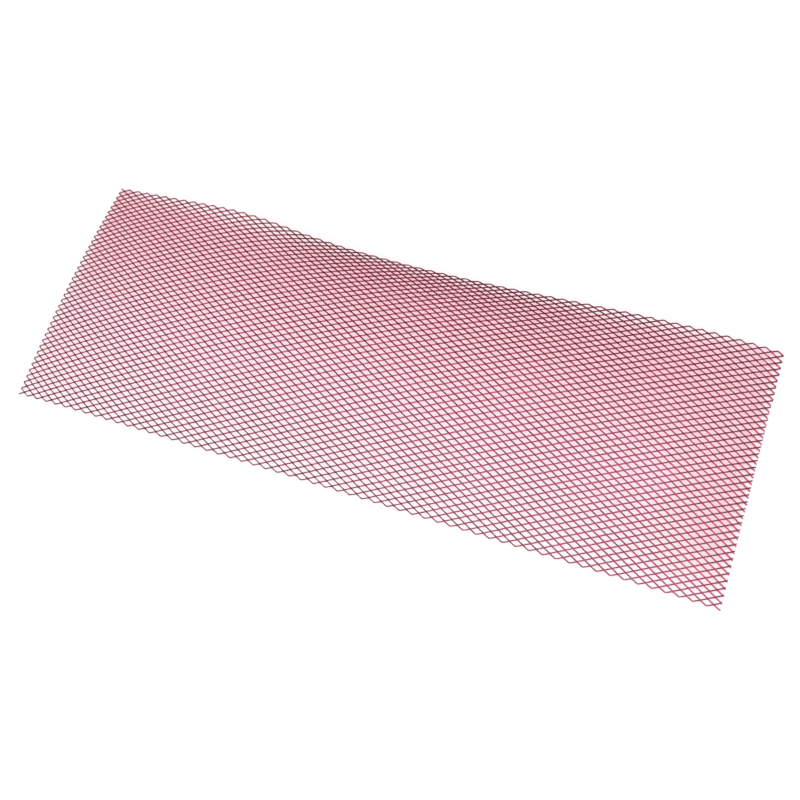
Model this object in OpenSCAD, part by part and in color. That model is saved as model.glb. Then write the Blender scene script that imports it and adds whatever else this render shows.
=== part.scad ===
// Expanded aluminium mesh sheet for a car grille: one slit and stretched sheet of
// diamond cells that lies on a floor on its two ends, bulged up along its middle.
// X runs along the long way of the cells, Y across them to the far edge and Z up.
// The origin is on the floor, under the middle of the sheet's outline.
// A place on the sheet is given as i cells from the left end and j rows from the
// near edge. Strands cross where i and j are both whole or both half numbers. Those
// that run right and to the far edge lie under those that run left and to it, and
// bonds join the two.

/* [Mesh] */
// Long way of a cell, from crossing to crossing along the sheet
cell_len = 17.2; // [14:0.1:24]
// Short way of a cell, from crossing to crossing across the sheet
cell_wid = 9.4; // [8:0.1:12]
// Whole cells along the near edge
cells_long = 58; // [40:1:64]
// Rows of cells across the sheet
cells_wide = 38; // [24:1:44]
// Width of a strand, seen from above
strand_w = 1.2; // [1:0.1:2]
// Thickness of a strand
strand_t = 0.8; // [0.6:0.1:1.2]
// Radius of a bond where two strands cross
bond_r = 0.3; // [0.2:0.05:0.35]
// Height of a bond, between the two strands
bond_h = 0.1; // [0.05:0.05:0.3]

/* [Edges] */
// Flat at the tip of each closed loop along the two long edges
tip_flat = 1; // [0.4:0.1:1.1]
// Strand left past the last whole cell by the cut at the right end
cut_stub = 1.4; // [1:0.1:2]
// How much further that cut lies out at the far edge than at the near edge
cut_slant = 8; // [4:0.5:9]

/* [Bulge] */
// Height of the ridge at mid-length
ridge_h = 53; // [30:1:80]
// Fullness that keeps the ridge high towards the two ends
ridge_full = 21; // [0:1:30]
// Height of the arch at the left end
left_arch = 11; // [4:0.5:16]
// Height of the long edges at mid-length, before roll and drop shift them
edge_h = 21; // [14:0.5:26]
// Fullness that lifts the long edges between mid-length and the two ends
edge_full = 45; // [20:1:60]
// How much the sheet rolls there: up at the far edge and down at the near edge
roll = 4.5; // [0:0.5:6]
// Sideways bow of the sheet towards its near edge at mid-length
side_bow = 7; // [0:0.5:10]
// Extra height that the far edge loses where the far side turns down, at mid-length
far_drop = 10.5; // [0:0.5:12]
// Where the far side starts to turn down, as a share of the way from ridge to edge
far_from = 0.33; // [0.2:0.01:0.6]
// Lift of a wave in the far edge near the left end, before it fades to the ends
wave_h = 18; // [0:0.5:20]
// Place of that wave, as a share of the way from mid-length to the right end
wave_at = -0.59; // [-0.7:0.01:-0.4]
// Half length of that wave, as a share of the same way
wave_w = 0.2; // [0.15:0.01:0.3]

/* [Hidden] */
// The sheet is one piece. It is drawn in panels, each small enough to stay almost flat:
// a band over the full width at each end, and between them columns of four strips.
strips = ["near", "mid_near", "mid_far", "far"];
columns = ["left_end", "1", "2", "3", "4", "5", "right_end"];
last_col = len(columns) - 1;
// Length of the bands at the two ends, which is rounded to whole cells
end_band = 84;
// Longest flat facet of a panel, along and across the sheet
facet_len = 85.5;
facet_wid = 50;
// How far a seam between panels stays clear of the crossings beside it, in cells along
// the sheet and in rows. Seams of neighbour strips are half a cell apart, so that three
// panels meet at a corner and no strand is cut off from its crossings there.
seam_i = 0.15;
seam_j = 0.2;
// Bonds stand on two of every so many lines of crossings, counted from each seam that
// runs along the sheet, and also on the last line before the next such seam
bond_lines = 5;
// How far a bond's wall stays clear of a cut end
bond_inset = 0.1;
// How far past a row of facet corners a strand bends, in rows of cells, so that no
// bend falls on the fold between two facets
bend_past = 0.3;
// How far the upright bars of the strands run past the sheet below and above
clear = 2;

n_long = round(cells_long);
n_wide = round(cells_wide);
sheet_t = 2 * strand_t + bond_h;
half_i = cell_len / 2;
half_j = cell_wid / 2;
cell_side = sqrt(half_i * half_i + half_j * half_j);
// Half a strand's width, in cells along the sheet
strand_i = strand_w / 2 * cell_side / half_j / cell_len;
// Reach of the edge loops past the outer row of crossings
tip_reach = strand_w / 2 * cell_side / half_i - tip_flat / 2 * half_j / half_i;
tip_j = tip_reach / cell_wid;
// Least distance from a bond's axis to a cut end
bond_edge = bond_r + bond_inset;

// Place of the cut at the right end, in cells along the sheet
function end_i(j) = n_long + (cut_stub + cut_slant * j / n_wide) / cell_len;
end_far = end_i(n_wide);
half_wid = n_wide * half_j + tip_reach;
flat_half_len = end_far * half_i;
// Half length in plan, less than the flat sheet's because the ridge rises
half_len = flat_half_len - 2 / 3 * ridge_h * ridge_h / flat_half_len;

// Share of the way from mid-length to an end, and from the ridge to a long edge
function along(i, j) = 2 * i / end_i(j) - 1;
function across(j) = (j * cell_wid - n_wide * half_j) / half_wid;

function ridge_z(a) = (1 - a * a) * (ridge_h + ridge_full * a * a) + left_arch * (1 - a) / 2;
function edge_z(a) = (1 - a * a) * (edge_h + edge_full * a * a);
function crown(a) = ridge_z(a) - edge_z(a);
// Height that the far edge loses, less the wave that lifts it
function turn_z(a) = (1 - a * a) * (far_drop - wave_h * exp(-pow((a - wave_at) / wave_w, 2)));
// Share of the way over the far side, from where it starts to turn down
function turn(c) = max(c - far_from, 0) / (1 - far_from);

// Height of the underside, and the plan position, of a place on the sheet. The plan is
// drawn in by half the square of the slope, so that the cells keep their size.
function lie_z(i, j) =
    let (a = along(i, j), c = across(j))
    edge_z(a) + crown(a) * (1 - c * c) + (1 - a * a) * roll * c - turn_z(a) * pow(turn(c), 2);
function lie_x(i) =
    let (a = 2 * i / end_far - 1)
    half_len * (a + 2 / 3 * pow(ridge_h / half_len, 2) * (a - pow(a, 3)));
function lie_y(i, j) =
    let (a = along(i, j), c = across(j), t = turn(c), w = 1 - far_from)
    let (bulged = 2 / 3 * pow(crown(a), 2) * pow(c, 3))
    let (turned = 2 / 3 * pow(turn_z(a), 2) * pow(t, 3) / w)
    let (shared = 4 * crown(a) * turn_z(a) * (far_from * pow(t, 2) / 2 + w * pow(t, 3) / 3))
    half_wid * c - (bulged + turned + shared) / half_wid - side_bow * (1 - a * a);

// Middle of the outline across the sheet, taken off so that the origin is under it
far_y = max([for (i = [0:n_long]) lie_y(i, n_wide + tip_j), lie_y(end_far, n_wide + tip_j)]);
near_y = min([for (i = [0:n_long]) lie_y(i, -tip_j)]);
mid_y = (far_y + near_y) / 2;
function lie(i, j) = [lie_x(i), lie_y(i, j) - mid_y];

// Seams between the panels: r counts strips and c columns, each from 0
function is_end(c) = c == 0 || c == last_col;
band = round(end_band / cell_len);
function cut_i(c, r, j) =
    c == 0 ? 0 :
    c == 1 ? band - seam_i :
    c == last_col ? n_long - band + seam_i :
    c > last_col ? end_i(j) :
    round(band + (c - 1) * (n_long - 2 * band) / (last_col - 1)) + seam_i + (r % 2) / 2;
function cut_j(r) =
    r == 0 ? -tip_j :
    r == len(strips) ? n_wide + tip_j :
    round(r * n_wide / len(strips)) + seam_j - (r % 2) / 2;

// Rows of facet corners: those of a strip, or of all strips for the bands at the ends
facets_wide = ceil(n_wide * cell_wid / len(strips) / facet_wid);
function strip_rows(r) =
    [for (v = [0:facets_wide]) cut_j(r) + (cut_j(r + 1) - cut_j(r)) * v / facets_wide];
function panel_rows(c, r) =
    is_end(c) ?
        [cut_j(0), for (s = [0:len(strips) - 1], v = [1:facets_wide]) strip_rows(s)[v]] :
        strip_rows(r);
function facets_long(c) =
    ceil((cut_i(c + 1, 0, 0) - cut_i(c, 0, 0)) * cell_len / facet_len);

// Corner of the facets of a panel, on the underside
function station(c, r, u, j) =
    let (i = cut_i(c, r, j) + (cut_i(c + 1, r, j) - cut_i(c, r, j)) * u / facets_long(c))
    [each lie(i, j), lie_z(i, j)];

// Height of a facet's underside at a place on it. A quad of stations is two facets,
// parted by the line from its near left to its far right corner.
function plane_z(p, a, b, c) =
    let (n = cross(b - a, c - a))
    a.z - (n.x * (p.x - a.x) + n.y * (p.y - a.y)) / n.z;
function facet_z(c, r, i, j) =
    let (rows = panel_rows(c, r))
    let (v = max([for (k = [0:len(rows) - 2]) if (j >= rows[k]) k]))
    let (su = facets_long(c) * (i - cut_i(c, r, j)) / (cut_i(c + 1, r, j) - cut_i(c, r, j)))
    let (sv = (j - rows[v]) / (rows[v + 1] - rows[v]))
    let (u = min(floor(su), facets_long(c) - 1))
    let (a = station(c, r, u, rows[v]), b = station(c, r, u + 1, rows[v + 1]))
    su - u > sv ?
        plane_z(lie(i, j), a, station(c, r, u + 1, rows[v]), b) :
        plane_z(lie(i, j), a, b, station(c, r, u, rows[v + 1]));

// Bent plate under one layer of strands of a panel, upright all round
module plate(c, r, low) {
    rows = panel_rows(c, r);
    nu = facets_long(c);
    nv = len(rows) - 1;
    ni = nu + 1;
    under = [for (j = rows, u = [0:nu]) station(c, r, u, j) + [0, 0, low]];
    over = [for (p = under) p + [0, 0, strand_t]];
    n = len(under);
    quads = [for (v = [0:nv - 1], u = [0:nu - 1]) v * ni + u];
    rim = [
        for (u = [0:nu - 1]) u,
        for (v = [0:nv - 1]) v * ni + nu,
        for (u = [nu:-1:1]) nv * ni + u,
        for (v = [nv:-1:1]) v * ni
    ];
    polyhedron(
        points = concat(under, over),
        faces = [
            for (q = quads) each [[q, q + 1, q + ni + 1], [q, q + ni + 1, q + ni]],
            for (q = quads) each [[n + q + ni + 1, n + q + 1, n + q], [n + q + ni, n + q + ni + 1, n + q]],
            for (k = [0:len(rim) - 1])
            let (a = rim[k], b = rim[(k + 1) % len(rim)])
            [a, n + a, n + b, b]
        ]
    );
}

// Rows that a strand's line is set by: the panel's two outer rows, and between them a
// bend beyond each inner row of facet corners
function bend_rows(c, r) =
    let (rows = panel_rows(c, r), top = len(rows) - 1)
    [for (k = [0:top]) rows[k] + (k > 0 && k < top ? bend_past : 0)];

// Upright bar along one line of strands, which runs i = n + way * j. It is straight
// from one bend to the next, and runs on past the panel at both ends.
module strand_bar(n, way, c, r) {
    rows = bend_rows(c, r);
    reach = 2 * (rows[1] - rows[0]);
    low_i = cut_i(c, r, 0) - reach;
    high_i = cut_i(c + 1, r, n_wide) + reach;
    js = [for (j = rows) let (i = n + way * j) if (i > low_i && i < high_i) j];
    m = len(js) - 1;
    left = [for (j = js) lie(n + way * j - strand_i, j)];
    right = [for (j = js) lie(n + way * j + strand_i, j)];
    run_on = [for (s = [left, right]) [
        2 * s[0] - s[1],
        for (k = [1:1:m - 1]) s[k],
        2 * s[m] - s[m - 1]
    ]];
    translate([0, 0, -clear])
        linear_extrude(ridge_h + ridge_full + left_arch + sheet_t + 2 * clear)
            polygon(concat(run_on[0], [for (k = [m:-1:0]) run_on[1][k]]));
}

// All strands of one direction in a panel
module strands(c, r, way, low) {
    rows = panel_rows(c, r);
    near_j = way > 0 ? rows[0] : rows[len(rows) - 1];
    far_j = way > 0 ? rows[len(rows) - 1] : rows[0];
    first = ceil(cut_i(c, r, 0) - way * far_j);
    last = floor(cut_i(c + 1, r, rows[len(rows) - 1]) - way * near_j);
    intersection() {
        plate(c, r, low);
        union() {
            for (n = [first:last]) strand_bar(n, way, c, r);
        }
    }
}

// Lines of crossings that hold bonds, by rows from the near edge
strip_lines = [for (r = [0:len(strips) - 1]) [ceil(2 * cut_j(r)), floor(2 * cut_j(r + 1))]];
bonded_lines = [
    for (s = strip_lines, k = [s[0]:s[1]])
    if ((k - s[0]) % bond_lines < 2 || k == s[1]) k / 2
];

// Bonds of a panel. At the left end they stand just inside the cut.
module bonds(c, r) {
    rows = panel_rows(c, r);
    for (j = bonded_lines, k = [0:n_long]) {
        i = k + j % 1;
        inside = i >= cut_i(c, r, j) && i < cut_i(c + 1, r, j) && j > rows[0] && j < rows[len(rows) - 1];
        if (inside && (end_i(j) - i) * cell_len > bond_edge)
            translate([max(lie_x(i), lie_x(0) + bond_edge), lie(i, j).y, facet_z(c, r, i, j) + strand_t / 2])
                cylinder(r = bond_r, h = strand_t + bond_h, $fn = 24);
    }
}

module panel(c, r) {
    color("crimson") union() {
        strands(c, r, 1, 0);
        strands(c, r, -1, strand_t + bond_h);
        bonds(c, r);
    }
}

// Column, strip and name of each panel
panels = [
    [0, 0, "mesh_left_end"],
    for (c = [1:last_col - 1], r = [0:len(strips) - 1]) [c, r, str("mesh_", strips[r], "_", columns[c])],
    [last_col, 0, "mesh_right_end"]
];

for (p = panels)
    panel(p[0], p[1]);
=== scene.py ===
"""Looks of the expanded mesh sheet: strands, coating, floor, light and camera."""

import math

import bpy
import numpy as np
from mathutils import Matrix, Vector


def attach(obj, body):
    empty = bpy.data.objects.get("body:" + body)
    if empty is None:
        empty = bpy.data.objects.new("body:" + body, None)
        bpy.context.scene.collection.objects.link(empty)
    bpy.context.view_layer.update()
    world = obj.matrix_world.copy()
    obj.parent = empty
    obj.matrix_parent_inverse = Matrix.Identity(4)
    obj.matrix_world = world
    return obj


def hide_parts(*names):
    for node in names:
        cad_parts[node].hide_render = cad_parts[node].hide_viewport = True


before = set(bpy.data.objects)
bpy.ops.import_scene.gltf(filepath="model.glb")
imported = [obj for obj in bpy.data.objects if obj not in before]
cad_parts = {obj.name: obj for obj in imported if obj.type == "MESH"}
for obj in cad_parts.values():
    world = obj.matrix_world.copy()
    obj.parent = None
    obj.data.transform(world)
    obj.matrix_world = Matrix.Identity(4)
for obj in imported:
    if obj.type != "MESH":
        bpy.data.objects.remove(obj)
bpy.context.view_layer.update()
rng = np.random.default_rng(7)

# Sizes in millimetres and the curves of the sheet, as in the part's source
CELL_LEN = 17.2
CELL_WID = 9.4
CELLS_LONG = 58
CELLS_WIDE = 38
STRAND_W = 1.2
TIP_FLAT = 1.0
CUT_STUB = 1.4
CUT_SLANT = 8.0
RIDGE_H = 53.0
RIDGE_FULL = 21.0
LEFT_ARCH = 11.0
EDGE_H = 21.0
EDGE_FULL = 45.0
ROLL = 4.5
SIDE_BOW = 7.0
FAR_DROP = 10.5
FAR_FROM = 0.33
WAVE_H = 18.0
WAVE_AT = -0.59
WAVE_W = 0.2
HALF_I = CELL_LEN / 2
HALF_J = CELL_WID / 2
TIP_REACH = STRAND_W / 2 * math.hypot(HALF_I, HALF_J) / HALF_I - TIP_FLAT / 2 * HALF_J / HALF_I
HALF_WID = CELLS_WIDE * HALF_J + TIP_REACH
END_FAR = CELLS_LONG + (CUT_STUB + CUT_SLANT) / CELL_LEN
HALF_LEN = END_FAR * HALF_I - 2 / 3 * RIDGE_H**2 / (END_FAR * HALF_I)

# What the source leaves out: the form of the strands. Each row is one strand that
# zigzags between two lines of crossings, where it is joined side by side to the next.
ROWS = 2 * CELLS_WIDE
# A strand's section, how far its corners are cut off, and its middle over the underside
SECTION_W = 1.85
SECTION_T = 0.85
SECTION_ROUND = 0.22
MID_HEIGHT = 0.64
# A bond: how far a strand keeps from the line of crossings, and half its straight length
BOND_SHIFT = 0.5
BOND_FLAT = 0.85
# Tilt of a strand at a bond and half way to the next
TILT_AT_BOND = math.radians(16)
TILT_BETWEEN = math.radians(45)
# Where a bond's straight ends, the share of the slope and of the twist there already
FLAT_SLOPE = 0.12
FLAT_TWIST = 0.25
# Stations in a cell: four between one bond and the next, and two such ways
PER_CELL = 8
# How far the strands of the two long edges, and the cut at the right end, draw back
EDGE_SHIFT = 0.85
END_TRIM = 0.35
# The least share of the way between two stations that the cut leaves as a stub
LEAST_STUB = 0.05
# Unevenness of the stations: in rows across the sheet, as a share of that in cells along
# it, and in tilt
WANDER = 0.004
WANDER_ALONG = 0.6
WANDER_TILT = 0.035
# Height of the corners that touch the floor
FLOOR_GAP = 0.01

# Panels of the source
STRIPS = ["near", "mid_near", "mid_far", "far"]
COLUMNS = 5
END_BAND = 84.0

WHITE = (1, 1, 1, 1)
# The place that the lamps point at, in metres
AIM = Vector((0, 0, 0.03))
# The soft light in reflections: its strength, where white is 1, and where it comes from
SOFT_LIGHT = 6.0
SOFT_LIGHT_FROM = Vector((0.25, -0.77, 0.59))


def end_i(j):
    """Where the right end is cut, in cells, at row j."""
    return CELLS_LONG + (CUT_STUB + CUT_SLANT * j / CELLS_WIDE) / CELL_LEN


def lie(i, j):
    """Place of the underside of the sheet, in millimetres, i cells along and j rows up."""
    a = 2 * i / end_i(j) - 1
    c = (j * CELL_WID - CELLS_WIDE * HALF_J) / HALF_WID
    q = 1 - a * a
    ridge = q * (RIDGE_H + RIDGE_FULL * a * a) + LEFT_ARCH * (1 - a) / 2
    edge = q * (EDGE_H + EDGE_FULL * a * a)
    crown = ridge - edge
    ax = 2 * i / END_FAR - 1
    x = HALF_LEN * (ax + 2 / 3 * (RIDGE_H / HALF_LEN) ** 2 * (ax - ax**3))
    t = np.maximum(c - FAR_FROM, 0) / (1 - FAR_FROM)
    turn = q * (FAR_DROP - WAVE_H * np.exp(-(((a - WAVE_AT) / WAVE_W) ** 2)))
    drawn_in = 2 / 3 * crown**2 * c**3 + 2 / 3 * turn**2 * t**3 / (1 - FAR_FROM)
    drawn_in += 4 * crown * turn * (FAR_FROM * t**2 / 2 + (1 - FAR_FROM) * t**3 / 3)
    y = HALF_WID * c - drawn_in / HALF_WID - SIDE_BOW * q
    z = edge + crown * (1 - c * c) + q * ROLL * c - turn * t * t
    return np.stack([x, y, z], axis=-1)


# The frame's middle, half way between the outermost tips of the two long edges
tip_j = TIP_REACH / CELL_WID
along_edge = np.append(np.arange(CELLS_LONG + 1), END_FAR)
far_y = lie(along_edge, np.full(len(along_edge), CELLS_WIDE + tip_j))[:, 1].max()
near_y = lie(along_edge, np.full(len(along_edge), -tip_j))[:, 1].min()
MID = np.array([0.0, (far_y + near_y) / 2, 0.0])


def unit(v):
    """The vectors of v at length one."""
    return v / np.linalg.norm(v, axis=-1, keepdims=True)


def zigzag(row):
    """Stations (i, j, share of the way from a bond to the middle) of one row's strand."""
    step = 0.5
    flat = BOND_FLAT / CELL_LEN
    shift = BOND_SHIFT / CELL_WID
    edge_shift = EDGE_SHIFT / CELL_WID
    low_j = row / 2 + (edge_shift if row == 0 else shift)
    high_j = (row + 1) / 2 - (edge_shift if row == ROWS - 1 else shift)
    stations = []
    for k in range(2 * CELLS_LONG + 3):
        at_low = (k + row) % 2 == 0
        j = low_j if at_low else high_j
        after = high_j if at_low else low_j
        slope = (after - j) / (step - 2 * flat)
        stations.append((k * step, j, 0.0))
        stations.append((k * step + flat, j + FLAT_SLOPE * slope * flat, FLAT_TWIST))
        stations.append(((k + 0.5) * step, (j + after) / 2, 1.0))
        stations.append(((k + 1) * step - flat, after - FLAT_SLOPE * slope * flat, FLAT_TWIST))
    kept = []
    for s in stations:
        if s[0] < end_i(s[1]):
            kept.append(s)
            continue
        p = kept[-1]
        t = (end_i(p[1]) - p[0]) / (s[0] - p[0])
        if t > LEAST_STUB:
            kept.append(tuple(p[m] + t * (s[m] - p[m]) for m in range(3)))
        break
    return np.array(kept)


def section():
    """Eight corners of a strand's section: across it and through its thickness."""
    w, t, r = SECTION_W / 2, SECTION_T / 2, SECTION_ROUND
    corners = [(w - r, t), (w, t - r), (w, r - t), (w - r, -t)]
    corners += [(r - w, -t), (-w, r - t), (-w, t - r), (r - w, t)]
    return np.array(corners)


def strand(row):
    """Rings of vertices along one row's strand, in metres, one ring a station."""
    s = zigzag(row)
    jitter = rng.normal(0, WANDER, (len(s), 2))
    jitter[0] = 0
    jitter[-1] = 0
    i = s[:, 0] + jitter[:, 0] * WANDER_ALONG
    j = s[:, 1] + jitter[:, 1]
    p = lie(i, j)
    e = 1e-3
    along = unit(lie(i + e, j) - lie(i - e, j))
    up = unit(np.cross(along, lie(i, j + e) - lie(i, j - e)))
    run = unit(np.gradient(p, axis=0))
    side = unit(np.cross(up, run))
    twist = (TILT_BETWEEN - TILT_AT_BOND) * s[:, 2]
    tilt = TILT_AT_BOND + twist + rng.normal(0, WANDER_TILT, len(s))
    c, d = np.cos(tilt)[:, None], np.sin(tilt)[:, None]
    wide = c * side + d * up
    thick = c * up - d * side
    mid = p + MID_HEIGHT * up - MID
    ring = section()
    across = ring[None, :, 0, None] * wide[:, None, :]
    through = ring[None, :, 1, None] * thick[:, None, :]
    v = mid[:, None, :] + across + through
    # The two ends are cut upright, in the plane of the shears
    v[0, :, 0] = p[0, 0]
    v[-1, :, 0] = p[-1, 0] - END_TRIM
    # and the corners that touch the floor are flat there
    v[:, :, 2] = np.maximum(v[:, :, 2], FLOOR_GAP)
    return v / 1000


def column(name, first, last, strands, material):
    """One object of the strands from cell first to cell last. Its neighbour starts there."""
    verts, faces = [], []
    base = 0
    for rings in strands:
        part = rings[int(PER_CELL * first) : int(PER_CELL * last) + 1]
        n, m = part.shape[:2]
        verts.append(part.reshape(-1, 3))
        for a in range(n - 1):
            here, after = base + a * m, base + (a + 1) * m
            for b in range(m):
                c = (b + 1) % m
                faces.append((here + b, after + b, after + c, here + c))
        faces.append(tuple(base + b for b in range(m)))
        faces.append(tuple(base + (n - 1) * m + b for b in reversed(range(m))))
        base += n * m
    mesh = bpy.data.meshes.new(name)
    mesh.from_pydata(np.concatenate(verts).tolist(), [], faces)
    mesh.update()
    mesh.materials.append(material)
    o = bpy.data.objects.new(name, mesh)
    bpy.context.scene.collection.objects.link(o)
    return o


def node(tree, kind, **values):
    """A new node, each value set on its socket, or else on its setting, of that name."""
    n = tree.nodes.new(kind)
    for k, v in values.items():
        if k in n.inputs:
            n.inputs[k].default_value = v
        else:
            setattr(n, k, v)
    return n


def ramp(tree, factor, *stops):
    """Colour of the factor on a ramp with these stops, each a position and a colour."""
    n = node(tree, "ShaderNodeValToRGB")
    elements = n.color_ramp.elements
    elements[0].position, elements[0].color = stops[0]
    elements[1].position, elements[1].color = stops[-1]
    for position, color in stops[1:-1]:
        elements.new(position).color = color
    tree.links.new(factor, n.inputs["Fac"])
    return n.outputs["Color"]


def rise(tree, value, start, end, low=0.0, high=1.0):
    """Low up to where the value is start, high from end on, and even between."""
    n = node(tree, "ShaderNodeMapRange")
    for socket, setting in (
        ("From Min", start),
        ("From Max", end),
        ("To Min", low),
        ("To Max", high),
    ):
        n.inputs[socket].default_value = setting
    tree.links.new(value, n.inputs["Value"])
    return n.outputs["Result"]


def math_node(tree, operation, *values):
    """Result of the operation on the values, each a socket or a number."""
    n = node(tree, "ShaderNodeMath", operation=operation)
    for socket, value in zip(n.inputs, values):
        if isinstance(value, float):
            socket.default_value = value
        else:
            tree.links.new(value, socket)
    return n.outputs[0]


def either_shader(tree, factor, first, second):
    """The first shader where the factor is 0, and the second where it is 1."""
    n = node(tree, "ShaderNodeMixShader")
    for socket, value in zip(n.inputs, (factor, first, second)):
        tree.links.new(value, socket)
    return n.outputs["Shader"]


def any_ray(tree, *kinds):
    """1 for a ray of one of these kinds, 0 for any other."""
    path = node(tree, "ShaderNodeLightPath")
    found = path.outputs[f"Is {kinds[0]} Ray"]
    for kind in kinds[1:]:
        found = math_node(tree, "MAXIMUM", found, path.outputs[f"Is {kind} Ray"])
    return found


def cleared(owner):
    """The node tree of a material or world, with no node in it."""
    owner.use_nodes = True
    owner.node_tree.nodes.clear()
    return owner.node_tree


def coating():
    """Glossy dark red coating on metal, with small changes of tone, sheen and thickness. Shadow
    and diffuse rays pass through it in a painted shadow colour.
    """
    m = bpy.data.materials.new("red_coating")
    t = cleared(m)
    link = t.links.new
    out = node(t, "ShaderNodeOutputMaterial")
    bsdf = node(t, "ShaderNodeBsdfPrincipled", Metallic=0.97, IOR=1.5)
    bsdf.inputs["Specular Tint"].default_value = (1, 0.45, 0.55, 1)
    bsdf.inputs["Coat Weight"].default_value = 0.12
    bsdf.inputs["Coat Roughness"].default_value = 0.12
    spot = node(t, "ShaderNodeTexCoord").outputs["Object"]
    broad = node(t, "ShaderNodeTexNoise", Scale=9.0, Detail=3.0, Roughness=0.55)
    fine = node(t, "ShaderNodeTexNoise", Scale=900.0, Detail=3.0, Roughness=0.6)
    link(spot, broad.inputs["Vector"])
    link(spot, fine.inputs["Vector"])
    half = math_node(t, "MULTIPLY", fine.outputs["Fac"], 0.5)
    both = math_node(t, "MULTIPLY_ADD", broad.outputs["Fac"], 0.5, half)
    dark, light = (0.095, 0.009, 0.02, 1), (0.17, 0.024, 0.052, 1)
    link(ramp(t, both, (0.3, dark), (0.7, light)), bsdf.inputs["Base Color"])
    sheen = rise(t, fine.outputs["Fac"], 0.0, 1.0, low=0.2, high=0.34)
    link(sheen, bsdf.inputs["Roughness"])
    bump = node(t, "ShaderNodeBump", Strength=0.15, Distance=0.0001)
    link(fine.outputs["Fac"], bump.inputs["Height"])
    link(bump.outputs["Normal"], bsdf.inputs["Normal"])
    # Painted shadow: shadow and diffuse rays pass through the strands in a colour painted by
    # place on the sheet, so the floor under them takes a painted pink shade: hardly any near
    # the near edge, more under the ridge and beyond it, and less again at the far edge. At the
    # right end, where the sheet comes down, the painted shadow is greyer. The numbers of rise
    # are places on the sheet in metres.
    place = node(t, "ShaderNodeSeparateXYZ")
    link(spot, place.inputs["Vector"])
    painted_shadow_colour = ramp(
        t,
        rise(t, place.outputs["Y"], -0.18, 0.18),
        (0.0, (1, 0.97, 0.98, 1)),
        (0.08, (1, 0.78, 0.84, 1)),
        (0.5, (1, 0.58, 0.72, 1)),
        (0.9, (0.97, 0.16, 0.36, 1)),
        (1.0, (0.99, 0.6, 0.7, 1)),
    )
    # Mask for the greyer painted shadow at the right end, away from the near edge
    near_end = rise(t, place.outputs["X"], 0.38, 0.5)
    inland = rise(t, place.outputs["Y"], -0.17, -0.08)
    # Sockets of a Mix node by number: its factor is 0, its two colours are 6 and 7,
    # and its colour comes out at 2
    painted_shadow_mix = node(t, "ShaderNodeMix", data_type="RGBA")
    painted_shadow_mix.inputs[7].default_value = (0.9, 0.4, 0.54, 1)
    link(math_node(t, "MULTIPLY", near_end, inland), painted_shadow_mix.inputs[0])
    link(painted_shadow_colour, painted_shadow_mix.inputs[6])
    # The strands let shadow and diffuse rays through in the painted shadow colour
    clear = node(t, "ShaderNodeBsdfTransparent")
    link(painted_shadow_mix.outputs[2], clear.inputs["Color"])
    shadow_or_diffuse_ray = any_ray(t, "Shadow", "Diffuse")
    shown = either_shader(t, shadow_or_diffuse_ray, bsdf.outputs["BSDF"], clear.outputs["BSDF"])
    link(shown, out.inputs["Surface"])
    return m


def floor_material():
    """Matt white, and away from the object plain white to the camera and in reflections."""
    m = bpy.data.materials.new("pale_floor")
    t = cleared(m)
    out = node(t, "ShaderNodeOutputMaterial")
    bsdf = node(t, "ShaderNodeBsdfPrincipled", Roughness=0.9)
    bsdf.inputs["Specular IOR Level"].default_value = 0.1
    spot = node(t, "ShaderNodeTexCoord").outputs["Object"]
    noise = node(t, "ShaderNodeTexNoise", Scale=30.0, Detail=2.0)
    t.links.new(spot, noise.inputs["Vector"])
    dark, light = (0.985, 0.985, 0.985, 1), (0.995, 0.995, 0.995, 1)
    tone = ramp(t, noise.outputs["Fac"], (0.0, dark), (1.0, light))
    t.links.new(tone, bsdf.inputs["Base Color"])
    distance = node(t, "ShaderNodeVectorMath", operation="LENGTH")
    t.links.new(spot, distance.inputs[0])
    beyond = rise(t, distance.outputs["Value"], 0.6, 1.1)
    seen = math_node(t, "MULTIPLY", beyond, any_ray(t, "Camera", "Glossy", "Transmission"))
    white = node(t, "ShaderNodeEmission", Color=WHITE, Strength=1.0)
    shown = either_shader(t, seen, bsdf.outputs["BSDF"], white.outputs["Emission"])
    t.links.new(shown, out.inputs["Surface"])
    return m


def area(name, place, size, watts):
    """A rectangular lamp that points at the middle of the sheet."""
    light = bpy.data.lights.new(name, "AREA")
    light.shape = "RECTANGLE"
    light.size, light.size_y = size
    light.energy = watts
    o = bpy.data.objects.new(name, light)
    o.location = place
    o.rotation_euler = (AIM - Vector(place)).to_track_quat("-Z", "Y").to_euler()
    bpy.context.scene.collection.objects.link(o)
    return o


# Strands: a piece for the band at each end and for each column of four panels between
red = coating()
strands = [strand(row) for row in range(ROWS)]
band = round(END_BAND / CELL_LEN)
inner = CELLS_LONG - 2 * band
seams = [0, band] + [round(band + c * inner / COLUMNS) + 0.5 for c in range(1, COLUMNS)]
seams += [CELLS_LONG - band, CELLS_LONG + 1]
names = ["left_end"] + [str(c) for c in range(1, COLUMNS + 1)] + ["right_end"]
for c, name in enumerate(names):
    piece = column("strands_" + name, seams[c], seams[c + 1], strands, red)
    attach(piece, "root")
    ends = name.endswith("end")
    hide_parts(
        *(["mesh_" + name] if ends else [f"mesh_{strip}_{name}" for strip in STRIPS])
    )

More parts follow.
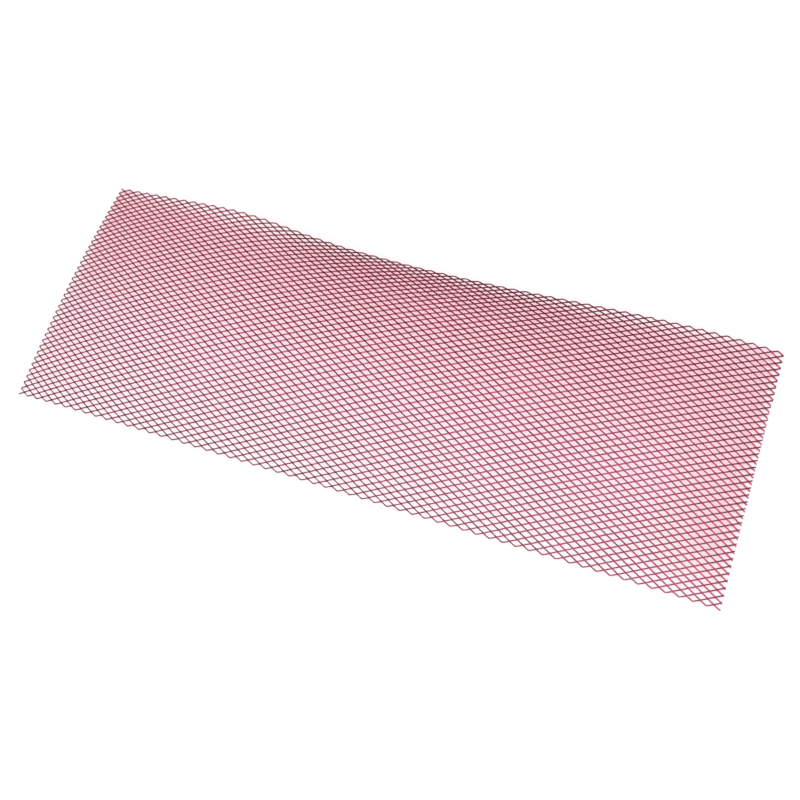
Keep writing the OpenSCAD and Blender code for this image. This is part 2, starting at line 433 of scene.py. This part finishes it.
# Floor
bpy.ops.mesh.primitive_plane_add(size=7, location=(0, 0, 0))
floor = bpy.context.object
floor.name = "floor"
floor.data.materials.append(floor_material())

# World: white to the camera and in reflections, where one large soft light stands over
# the near side, and an even light on everything else
world = bpy.data.worlds.new("studio")
bpy.context.scene.world = world
t = cleared(world)
out = node(t, "ShaderNodeOutputWorld")
coord = node(t, "ShaderNodeTexCoord")
facing = node(t, "ShaderNodeVectorMath", operation="DOT_PRODUCT")
facing.inputs[1].default_value = SOFT_LIGHT_FROM.normalized()
t.links.new(coord.outputs["Generated"], facing.inputs[0])
around = (1 / SOFT_LIGHT, 1 / SOFT_LIGHT, 1 / SOFT_LIGHT, 1)
glow = ramp(t, facing.outputs["Value"], (0.74, around), (0.88, WHITE))
room = node(t, "ShaderNodeBackground", Strength=SOFT_LIGHT)
t.links.new(glow, room.inputs["Color"])
even = node(t, "ShaderNodeBackground", Color=WHITE, Strength=0.3)
white = node(t, "ShaderNodeBackground", Color=WHITE, Strength=1.0)
rest = either_shader(
    t, any_ray(t, "Glossy"), even.outputs["Background"], room.outputs["Background"]
)
shown = either_shader(t, any_ray(t, "Camera", "Transmission"), rest, white.outputs["Background"])
t.links.new(shown, out.inputs["Surface"])

# Light
top = area("top", (-0.2, -0.2, 4.0), (5, 5), 165)
top.visible_glossy = False
area("back", (0.7, 0.5, 2.3), (1.2, 1.2), 4.5)

# Camera: its axes and place, fitted to the crossings of the mesh in the photo
camera = bpy.data.cameras.new("camera")
camera.lens = 42.3
camera.sensor_width = 36
cam = bpy.data.objects.new("camera", camera)
right = Vector((0.94107, 0.32146, -0.10509))
down = Vector((0.26558, -0.8948, -0.35889))
forward = Vector((-0.20941, 0.30983, -0.92744))
turn = Matrix((right, -down, -forward)).transposed()
cam.matrix_world = Matrix.Translation((0.29732, -0.42553, 1.18793)) @ turn.to_4x4()
bpy.context.scene.collection.objects.link(cam)
bpy.context.scene.camera = cam

bpy.context.scene.view_settings.view_transform = "Standard"
